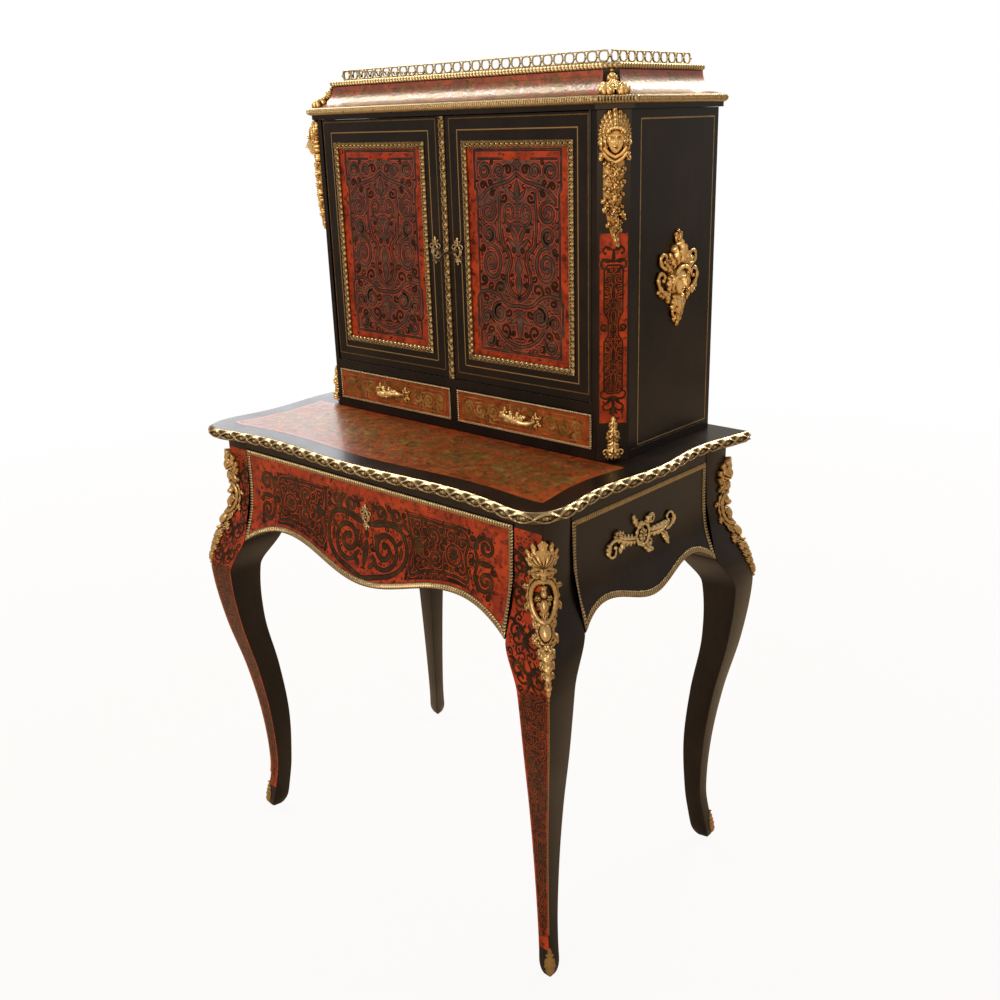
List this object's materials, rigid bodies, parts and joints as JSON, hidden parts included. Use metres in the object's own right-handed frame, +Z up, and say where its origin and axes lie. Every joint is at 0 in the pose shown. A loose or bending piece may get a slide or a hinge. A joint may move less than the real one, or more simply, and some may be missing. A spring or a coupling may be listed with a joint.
{
  "type": "bonheur du jour",
  "caption": "Small ebonised writing desk on cabriole legs with a frieze drawer, carrying a two-door cupboard over small drawers, with Boulle-style marquetry and gilt mounts.",
  "frame": {"origin": "on the floor, under the middle of the object's outline", "axes": "+Z up, +Y to the back, +X to the right as one faces the doors"},
  "size_m": [0.7864, 0.5396, 1.3261],
  "materials": {
    "ebonised_wood": "satin french polish",
    "marquetry": "polished red shell and brass marquetry",
    "oak_interior": "waxed",
    "gilt_bronze": "cast and gilt, aged",
    "iron": "filed"
  },
  "bodies": {
    "carcase": {"leg_front_left": "ebonised_wood", "leg_front_right": "ebonised_wood", "leg_rear_left": "ebonised_wood", "leg_rear_right": "ebonised_wood", "apron_left": "ebonised_wood", "apron_right": "ebonised_wood", "apron_rear": "ebonised_wood", "front_top_rail": "ebonised_wood", "drawer_runner_left": "oak_interior", "drawer_runner_right": "oak_interior", "table_top": "ebonised_wood", "edge_moulding_front": "gilt_bronze", "edge_moulding_left": "gilt_bronze", "edge_moulding_right": "gilt_bronze", "leg_mount_front_left": "gilt_bronze", "leg_mount_front_right": "gilt_bronze", "cabinet_bottom": "ebonised_wood", "cabinet_side_left": "ebonised_wood", "cabinet_side_right": "ebonised_wood", "cabinet_back": "ebonised_wood", "corner_post_left": "ebonised_wood", "corner_post_right": "ebonised_wood", "drawer_divider": "ebonised_wood", "cupboard_floor": "ebonised_wood", "cupboard_shelf": "oak_interior", "cabinet_top_board": "ebonised_wood", "corner_mask_mount_left": "gilt_bronze", "corner_mask_mount_right": "gilt_bronze", "cornice_moulding": "gilt_bronze", "roof_cove": "marquetry", "roof_top_panel": "ebonised_wood", "gallery_front": "gilt_bronze", "gallery_left": "gilt_bronze", "gallery_right": "gilt_bronze"},
    "frieze_drawer": {"frieze_drawer_front": "marquetry", "frieze_drawer_side_left": "oak_interior", "frieze_drawer_side_right": "oak_interior", "frieze_drawer_back": "oak_interior", "frieze_drawer_bottom": "oak_interior", "frieze_drawer_lock": "iron", "frieze_drawer_escutcheon": "gilt_bronze"},
    "left_door": {"door_left": "ebonised_wood", "door_panel_left": "marquetry", "door_left_top_pin": "iron", "door_left_bottom_pin": "iron", "door_escutcheon_left": "gilt_bronze"},
    "right_door": {"door_right": "ebonised_wood", "door_panel_right": "marquetry", "door_right_top_pin": "iron", "door_right_bottom_pin": "iron", "door_escutcheon_right": "gilt_bronze", "meeting_moulding": "gilt_bronze", "door_lock": "iron"},
    "key": {"door_key": "gilt_bronze"},
    "left_small_drawer": {"small_drawer_left_front": "marquetry", "small_drawer_left_box": "oak_interior", "small_drawer_left_handle": "gilt_bronze"},
    "right_small_drawer": {"small_drawer_right_front": "marquetry", "small_drawer_right_box": "oak_interior", "small_drawer_right_handle": "gilt_bronze"}
  },
  "joints": [
    {"name": "frieze_drawer_slide", "type": "slide", "parent": "carcase", "child": "frieze_drawer", "axis": [0, -1, 0], "range_m": [0, 0.25]},
    {"name": "left_small_drawer_slide", "type": "slide", "parent": "carcase", "child": "left_small_drawer", "axis": [0, -1, 0], "range_m": [0, 0.14]},
    {"name": "right_small_drawer_slide", "type": "slide", "parent": "carcase", "child": "right_small_drawer", "axis": [0, -1, 0], "range_m": [0, 0.14]},
    {"name": "left_door_hinge", "type": "hinge", "parent": "carcase", "child": "left_door", "pos_m": [-0.275, -0.0236, 0.8515], "axis": [0, 0, -1], "range_deg": [0, 95]},
    {"name": "right_door_hinge", "type": "hinge", "parent": "carcase", "child": "right_door", "pos_m": [0.275, -0.0236, 0.8515], "axis": [0, 0, 1], "range_deg": [0, 95]},
    {"name": "key_turn", "type": "hinge", "parent": "right_door", "child": "key", "pos_m": [0.024, -0.0286, 1.0523], "axis": [0, -1, 0], "range_deg": [0, 90]}
  ]
}
